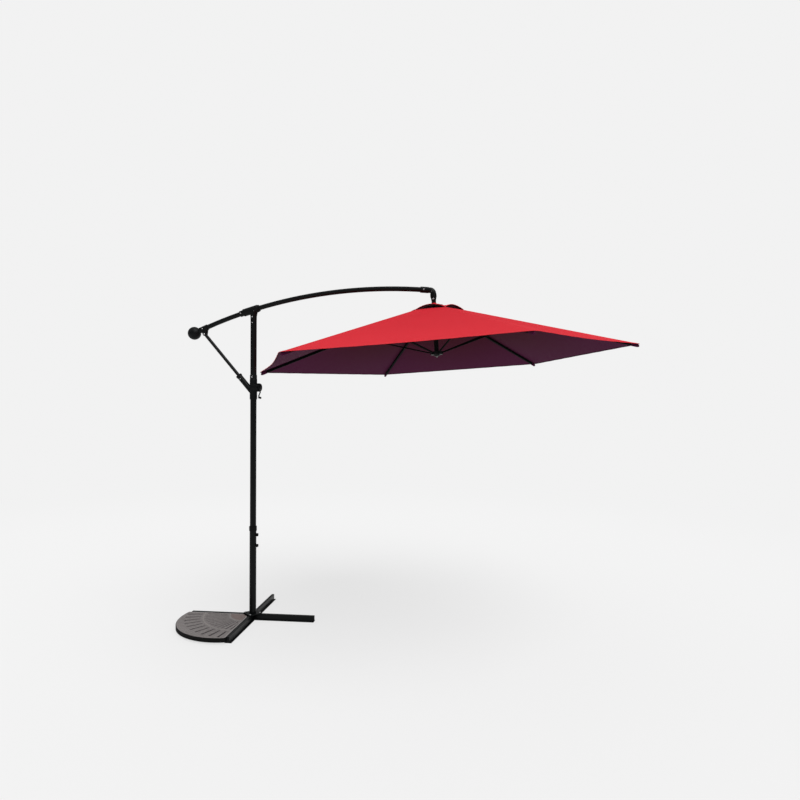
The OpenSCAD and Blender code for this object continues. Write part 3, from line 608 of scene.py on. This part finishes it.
def ballPiece():
    # lathe: a sphere whose shoulder runs straight to a flat end with a small rim, and the plug in the boom
    radius, rim, end = ballSizes["radius"], ballSizes["rim"], (ballSizes["end"], ballSizes["endRadius"])
    turn = np.linspace(0, math.radians(ballSizes["leave"]), 48)
    ball = np.stack([-radius * np.cos(turn), radius * np.sin(turn)], -1)
    share = np.linspace(0, 1, 8)[1:, None]
    shoulder = ball[-1] + (np.array((end[0] - rim, end[1])) - ball[-1]) * share
    profile = np.concatenate([ball, shoulder, [(end[0], end[1] - rim), (end[0], 0.0)]])
    x = ballSizes["place"]
    along = (math.cos(boomTurn(x)), 0, -math.sin(boomTurn(x)))
    mesh = surfaceMesh("boomBallFinished", lathePoints(profile, boomPoint(x), along, 72))
    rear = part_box("boom")[0].x
    near, far, thick = ballSizes["plug"]
    whole = bmesh.new()
    whole.from_mesh(mesh)
    whole.from_mesh(bars("boomPlug", [boomRod((rear + near, rear + far, thick))]))
    whole.to_mesh(mesh)
    whole.free()
    smoothUpTo(mesh, 50)
    addPiece("boomBallFinished", mesh, "mast", "black_plastic", ["boom_ball"])


ballPiece()

crankAxis = np.array(joints["crank_turn"]["pos_m"])
gripAxis = np.array(joints["crank_grip_spin"]["pos_m"])
# bars: start, end and radius, measured up the mast, out from its axis, or up the branch
winchSizes = {"body": (1.654, 1.806, 0.0275), "top": (1.80, 1.84, 0.0262), "boss": (0, 0.045, 0.032),
              "branch": (0, 0.184, 0.0205), "branchRing": (0.172, 0.184, 0.0235),
              "mastBore": (1.64, 1.86, 0.02305), "drumBore": (0.015, 0.06, 0.026),
              "strutBore": (0.061, 0.2, 0.01205), "branchFoot": 1.7, "branchRise": 48.5, "grain": 0.0014,
              "evenings": 2}
branchRise = math.radians(winchSizes["branchRise"])
upMast = ((0, 0, 0), (0, 0, 1))
outBoss = ((0, 0, crankAxis[2]), (1, 0, 0))
upBranch = ((0, 0, winchSizes["branchFoot"]), (-math.cos(branchRise), 0, math.sin(branchRise)))
casting("winch_housing",
        [rod(*upMast, winchSizes["body"]), rod(*upMast, winchSizes["top"]), rod(*outBoss, winchSizes["boss"]),
         rod(*upBranch, winchSizes["branch"]), rod(*upBranch, winchSizes["branchRing"])],
        [rod(*upMast, winchSizes["mastBore"]), rod(*outBoss, winchSizes["drumBore"]),
         rod(*upBranch, winchSizes["strutBore"])], winchSizes["grain"], winchSizes["evenings"])

crankSizes = {"hubStart": 0.051, "hubEdge": 0.0552, "chamfer": 0.0012, "hubRadius": 0.030, "inset": 0.001,
              "dome": 0.009, "above": 0.004, "below": 0.006, "bendStart": 0.034, "bendLength": 0.030,
              "bend": 0.0100, "barMiddle": 0.0549, "width": 0.0080, "narrowing": 0.0012, "thick": 0.0041,
              "pin": [(0.040, 0), (0.040, 0.004), (0.0622, 0.004), (0.0622, 0.0052), (0.0636, 0.0052),
                      (0.064, 0.0045), (0.064, 0)]}


def crankPiece():
    # domed hub turned about the crank's axis, and an oval bar swept down an S-shaped path to the grip's pin
    start, edge, radius = crankSizes["hubStart"], crankSizes["hubEdge"], crankSizes["hubRadius"]
    hub = [(start, 0), (start, radius - crankSizes["inset"]), (start + crankSizes["chamfer"], radius),
           (edge, radius)]
    dome = np.linspace(0.06, 1, 9) * np.pi / 2
    hub += [(edge + crankSizes["dome"] * math.sin(a), radius * math.cos(a)) for a in dome]
    rings = lathePoints(hub, (0, 0, crankAxis[2]), (1, 0, 0), 64)
    reach = crankAxis[2] - gripAxis[2]
    down = np.linspace(-crankSizes["above"], reach + crankSizes["below"], 40)
    bend = np.clip((down - crankSizes["bendStart"]) / crankSizes["bendLength"], 0, 1)
    x = crankSizes["barMiddle"] - crankSizes["bend"] * bend**2 * (3 - 2 * bend)
    swell = np.sqrt(np.clip(1 - np.abs(np.linspace(-1, 1, len(down))) ** 14, 0, 1))
    width = (crankSizes["width"] - crankSizes["narrowing"] * np.clip(down / reach, 0, 1)) * swell
    thick = crankSizes["thick"] * swell
    turn = np.linspace(0, 2 * np.pi, 28, endpoint=False)
    points = np.stack([x[:, None] + thick[:, None] * np.cos(turn), width[:, None] * np.sin(turn),
                       crankAxis[2] - down[:, None] + 0 * turn], -1)
    arm = surfaceMesh("crankArmBar", points)
    pinRings = lathePoints(crankSizes["pin"], (0, 0, gripAxis[2]), (1, 0, 0), 32)
    whole = bmesh.new()
    for part in (surfaceMesh("crankHub", rings), arm, surfaceMesh("crankPin", pinRings)):
        whole.from_mesh(part)
    mesh = bpy.data.meshes.new("crankArmFinished")
    whole.to_mesh(mesh)
    whole.free()
    smoothUpTo(mesh, 40)
    addPiece("crankArmFinished", mesh, "crank", "black_plastic", ["crank_arm"])


crankPiece()
print("mast and winch made")

# canopy axes: origin in the middle of the rib pins, first axis along rib 1, last one up
pins = np.array([joints[f"rib_{i}_fold"]["pos_m"] for i in range(1, 7)])
hubCentre = pins.mean(0)
outWay = pins[0] - hubCentre
outWay /= np.linalg.norm(outWay)
sideWay = np.array(joints["rib_1_fold"]["axis"], float)
upWay = np.cross(outWay, sideWay)
canopyAxes = np.stack([outWay, sideWay, upWay])
petalNode = frame["nodes"]["canopy_1"]
petalPoints = (np.array([v.co for v in petalNode.data.vertices]) - hubCentre) @ canopyAxes.T
ridge = petalPoints[np.abs(petalPoints[:, 1]) < 1e-4]
mainRidge = ridge[ridge[:, 0] > 0.15]
tipPoint = mainRidge[mainRidge[:, 0].argmax()]
canopyReach = float(tipPoint[0])
holeReach = 0.19
tipHeight = float(mainRidge[mainRidge[:, 0] > canopyReach - 1e-3][:, 2].min())
holeHeight = float(ridge[np.abs(ridge[:, 0] - holeReach) < 1e-3][:, 2].min())
clothSlope = (holeHeight - tipHeight) / (canopyReach - holeReach)

clothSizes = {"hemIn": 0.018, "sag": 0.014, "ridge": 0.035, "cloth": 0.0009, "hemCloth": 0.0022,
              "hemWidth": 0.022, "capIn": 0.022, "capReach": 0.208, "capPull": 0.012,
              "capLifts": (0.010, 0.012, 0.010, 0.010, 0.036, 0.032), "capGap": 0.0022, "capDrop": 0.012,
              "capSag": 0.004, "crown": 0.066, "holeEdge": 0.172, "ripple": 0.0007, "strain": 0.0005,
              "mainGrid": (90, 81), "capGrid": (30, 41), "mainKeep": 0.06, "capKeep": 0.36}


def canopyToRow(points, turn):
    # turns points about the canopy's axis and places them in the shared frame
    cos, sin = math.cos(turn), math.sin(turn)
    x, y, z = points[..., 0], points[..., 1], points[..., 2]
    turned = np.stack([x * cos - y * sin, x * sin + y * cos, z], -1)
    return hubCentre + turned @ canopyAxes


def petalSurface(inner, outer, height, slope, hemIn, hemRise, sag, rows, columns):
    # point at distance r out and share s across: x = r (1 - soft / 4), y = 0.433 r s, where soft is s with a
    # rounded start; height falls with r, sags between the ribs as 1 - (1 - s)^2, and the hem is drawn in
    v = np.sin(np.linspace(-1, 1, columns) * np.pi / 2) * 0.35 + np.linspace(-1, 1, columns) * 0.65
    s = np.abs(v)
    blunt = clothSizes["ridge"]
    soft = (np.sqrt(s**2 + blunt**2) - blunt) / (math.sqrt(1 + blunt**2) - blunt)
    across = 1 - (1 - soft) ** 2
    hem = outer - hemIn * across / math.cos(math.pi / 6)
    band = clothSizes["hemWidth"]
    u = np.concatenate([np.linspace(0, 1, rows - 4), np.ones(4)])
    inset = np.concatenate([np.full(rows - 4, band + 0.0015), [band, 0.5 * band, 0.001, 0.0]])
    r = inner + (hem[None, :] - inset[:, None] - inner) * u[:, None]
    far = (r - inner) / (outer - inner)
    x = r * (1 - 0.25 * soft)
    y = r * math.sqrt(3) / 4 * v
    pull = 4 * far * (1 - far) * 0.7 + far**2 * 0.6
    lift = np.where(v > 0, hemRise[0], hemRise[1])
    z = height - slope * (r - inner) - sag * across * pull + lift * across * far**2
    ripple = clothSizes["ripple"] * np.sin(r * 21 + 1.7 * np.cos(r * 6)) * across * (1 - across) * 4 * far
    strain = clothSizes["strain"] * np.sin(s * 9 * np.pi) * (1 - s) * s * 4 * far**3
    z = z + ripple + strain
    along = np.hypot(x, y)
    return np.stack([x, y, z], -1), np.stack([along, y], -1), np.abs(y), inset, r - inner


def mapCloth(mesh, flat):
    # UV map in metres from one flat position per point
    uv = mesh.uv_layers.new(name="clothMap")
    corner = np.empty(len(mesh.loops), np.int32)
    mesh.loops.foreach_get("vertex_index", corner)
    uv.data.foreach_set("uv", flat[corner].astype(np.float32).ravel())


def clothPiece(name, index, surface, replaced, body):
    # cloth on one rib, thicker at its hem
    points, flat, seamGap, inset, holeGap = surface
    turn = math.radians(60 * (index - 1))
    mesh = surfaceMesh(name, canopyToRow(points, turn), closed=False, weld=False)
    mapCloth(mesh, flat.reshape(-1, 2))
    hemGap = np.repeat(inset[:, None], points.shape[1], 1)
    setValues(mesh, {"hemGap": hemGap, "seamGap": seamGap, "holeGap": holeGap})
    if mesh.polygons[len(mesh.polygons) // 2].normal.dot(Vector(upWay)) < 0:
        mesh.flip_normals()
    piece = addPiece(name, mesh, body, "canopy_cloth", replaced)
    # the inner face takes the cloth's painted shade
    mesh.materials.append(clothInnerShaded)
    thick = piece.vertex_groups.new(name="folded")
    isHem = hemGap.ravel() <= clothSizes["hemWidth"] + 1e-6
    thick.add(np.flatnonzero(isHem).tolist(), 1.0, "REPLACE")
    thick.add(np.flatnonzero(~isHem).tolist(), clothSizes["cloth"] / clothSizes["hemCloth"], "REPLACE")
    wall = piece.modifiers.new("clothWall", "SOLIDIFY")
    wall.thickness = clothSizes["hemCloth"]
    wall.offset = 1.0
    wall.vertex_group = "folded"
    wall.material_offset = 1
    wall.material_offset_rim = 0
    even = piece.modifiers.new("evenShade", "WEIGHTED_NORMAL")
    even.mode = "FACE_AREA"
    even.weight = 80
    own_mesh(piece)
    return piece


mainTop = holeHeight + clothSlope * (holeReach - clothSizes["holeEdge"])
mainSurface = petalSurface(clothSizes["holeEdge"], canopyReach, mainTop, clothSlope, clothSizes["hemIn"],
                           (0.0, 0.0), clothSizes["sag"], *clothSizes["mainGrid"])
capTop = float(ridge[ridge[:, 0] < 0.05][:, 2].min()) - clothSizes["capDrop"]
capLow = mainTop - clothSlope * (clothSizes["capReach"] - clothSizes["holeEdge"]) + clothSizes["capGap"]
capSlope = (capTop - capLow) / (clothSizes["capReach"] - clothSizes["capIn"])


def capPanel(index):
    # the cap's panel on one rib; each hem arch has its own lift, shared by the two panels that meet in it
    lifts = clothSizes["capLifts"]
    return petalSurface(clothSizes["capIn"], clothSizes["capReach"], capTop, capSlope, clothSizes["capPull"],
                        (lifts[index - 1], lifts[index - 2]), clothSizes["capSag"], *clothSizes["capGrid"])


def markCloth(mesh, turn):
    # UV map in metres (distance out, distance round), with no hem, seam or edge near
    spots = (np.array([v.co for v in mesh.vertices]) - hubCentre) @ canopyAxes.T
    side = spots[:, 1] * math.cos(turn) - spots[:, 0] * math.sin(turn)
    mapCloth(mesh, np.stack([np.hypot(spots[:, 0], spots[:, 1]), side + spots[:, 2]], -1))
    setValues(mesh, {key: np.ones(len(mesh.vertices)) for key in ("hemGap", "seamGap", "holeGap")})


pocketSizes = {"length": 0.050, "wide": 0.0085, "tall": 0.0112, "under": 0.0124,
               "back": 0.001, "taperStart": 0.62, "taperPower": 2.2, "squareness": 0.6}


def pocketPiece(index):
    # corner pocket: a flattened sleeve round the rib's end, a squarish oval that shrinks to its tip
    turn = math.radians(60 * (index - 1))
    share = np.concatenate([[0.0], np.linspace(0, 1, 22)])
    along = canopyReach - pocketSizes["back"] - pocketSizes["length"] * (1 - share)
    ending = np.clip((share - pocketSizes["taperStart"]) / (1 - pocketSizes["taperStart"]), 0, 1)
    taper = np.sqrt(np.clip(1 - ending ** pocketSizes["taperPower"], 0, 1))
    taper[0] = 0
    around = np.linspace(0, 2 * np.pi, 32, endpoint=False)
    power = pocketSizes["squareness"]
    wide = np.sign(np.cos(around)) * np.abs(np.cos(around)) ** power * pocketSizes["wide"]
    tall = np.sign(np.sin(around)) * np.abs(np.sin(around)) ** power * pocketSizes["tall"]
    middle = tipHeight + clothSlope * (canopyReach - along) - pocketSizes["under"]
    y = wide[None, :] * taper[:, None]
    z = middle[:, None] + tall[None, :] * taper[:, None]
    x = np.repeat(along[:, None], len(around), 1)
    mesh = surfaceMesh(f"cornerPocket_{index}", canopyToRow(np.stack([x, y, z], -1), turn))
    markCloth(mesh, turn)
    # the pocket, under the canopy, takes the inner face's painted shade
    return addPiece(f"cornerPocket_{index}", mesh, f"rib_{index}_group", "canopy_cloth", (), clothInnerShaded)


for i in range(1, 7):
    pocket = pocketPiece(i)
    cloth = clothPiece(f"canopyCloth_{i}", i, mainSurface, [f"canopy_{i}"],
                       f"rib_{i}_group")
    cap = clothPiece(f"ventCloth_{i}", i, capPanel(i), [], f"rib_{i}_group")

# cloth patch over the cap's middle, which stays with the mast
crownSizes = {"hole": 0.0178, "edge": clothSizes["crown"], "under": 0.0022, "cloth": 0.0012, "bead": 0.0048}
crownDrop = capSlope * (crownSizes["edge"] - clothSizes["capIn"])
crownLow, crownHigh = capTop + crownSizes["under"], capTop + crownSizes["under"] + crownSizes["cloth"]
crownProfile = [(crownLow, crownSizes["hole"]), (crownLow - crownDrop, crownSizes["edge"]),
                (crownHigh - crownDrop, crownSizes["edge"] + 0.0004),
                (crownHigh, crownSizes["hole"] + 0.0016),
                (crownLow + crownSizes["bead"], crownSizes["hole"] + 0.0008),
                (crownLow + crownSizes["bead"], crownSizes["hole"]), (crownLow, crownSizes["hole"])]
crown = surfaceMesh("capCrown", lathePoints(crownProfile, hubCentre, upWay, 72))
markCloth(crown, 0.0)
addPiece("capCrown", crown, "mast", "canopy_cloth")
print("cloth made")

studio = {"paper": 0.887, "floor": 0.80, "glow": 0.74, "fadeStart": 4.0, "fadeEnd": 8.0, "airLow": 0.09,
          "airHigh": 0.66, "airFrom": 0.18, "airTo": 0.5, "sun": 2.3, "sunWidth": 50, "sunTilt": (22, 29)}


def floorAndLight():
    # pale floor that fades into the backdrop's brightness, air light that is brighter overhead, a wide sun
    bpy.ops.mesh.primitive_plane_add(size=400)
    floor = bpy.context.object
    floor.name = "floor"
    paper = (studio["paper"],) * 3 + (1,)
    shader = Shader("paperFloor")
    far = shader.field("ShaderNodeVectorMath", {"operation": "LENGTH"},
                       {0: shader.field("ShaderNodeTexCoord", out=3)}, 1)
    fade = shader.field("ShaderNodeMapRange", {"interpolation_type": "SMOOTHSTEP"},
                        {0: far, 1: studio["fadeStart"], 2: studio["fadeEnd"], 3: studio["glow"], 4: 1.0})
    shader.finish(colour=(studio["floor"],) * 3, rough=1.0, shine=0.0)
    glow = shader.field("ShaderNodeEmission", {}, {"Color": paper, "Strength": 1.0})
    mixed = shader.field("ShaderNodeMixShader", {},
                         {0: fade, 1: Field(shader, shader.surface.outputs[0]), 2: glow})
    out = next(n for n in shader.tree.nodes if n.bl_idname == "ShaderNodeOutputMaterial")
    shader.tree.links.new(mixed.socket, out.inputs["Surface"])
    floor.data.materials.append(shader.material)
    world = bpy.data.worlds.new("paperWorld")
    bpy.context.scene.world = world
    world.use_nodes = True
    tree = world.node_tree
    backdrop = tree.nodes["Background"]
    backdrop.inputs["Color"].default_value = paper
    air = tree.nodes.new("ShaderNodeBackground")
    air.inputs["Color"].default_value = (1, 1, 1, 1)
    way = tree.nodes.new("ShaderNodeTexCoord")
    wayParts = tree.nodes.new("ShaderNodeSeparateXYZ")
    height = tree.nodes.new("ShaderNodeMapRange")
    height.interpolation_type = "SMOOTHSTEP"
    for n, key in enumerate(("airFrom", "airTo", "airLow", "airHigh")):
        height.inputs[n + 1].default_value = studio[key]
    tree.links.new(way.outputs["Generated"], wayParts.inputs[0])
    tree.links.new(wayParts.outputs[2], height.inputs[0])
    tree.links.new(height.outputs[0], air.inputs["Strength"])
    seen = tree.nodes.new("ShaderNodeLightPath")
    choice = tree.nodes.new("ShaderNodeMixShader")
    tree.links.new(seen.outputs["Is Camera Ray"], choice.inputs[0])
    tree.links.new(air.outputs[0], choice.inputs[1])
    tree.links.new(backdrop.outputs[0], choice.inputs[2])
    tree.links.new(choice.outputs[0], tree.nodes["World Output"].inputs["Surface"])
    sun = bpy.data.lights.new("softSun", "SUN")
    sun.energy = studio["sun"]
    sun.angle = math.radians(studio["sunWidth"])
    sunThing = bpy.data.objects.new("softSun", sun)
    sunThing.rotation_euler = Euler((*(math.radians(tilt) for tilt in studio["sunTilt"]), 0))
    bpy.context.scene.collection.objects.link(sunThing)
    bpy.context.scene.view_settings.view_transform = "Standard"


floorAndLight()
print("floor and light made")
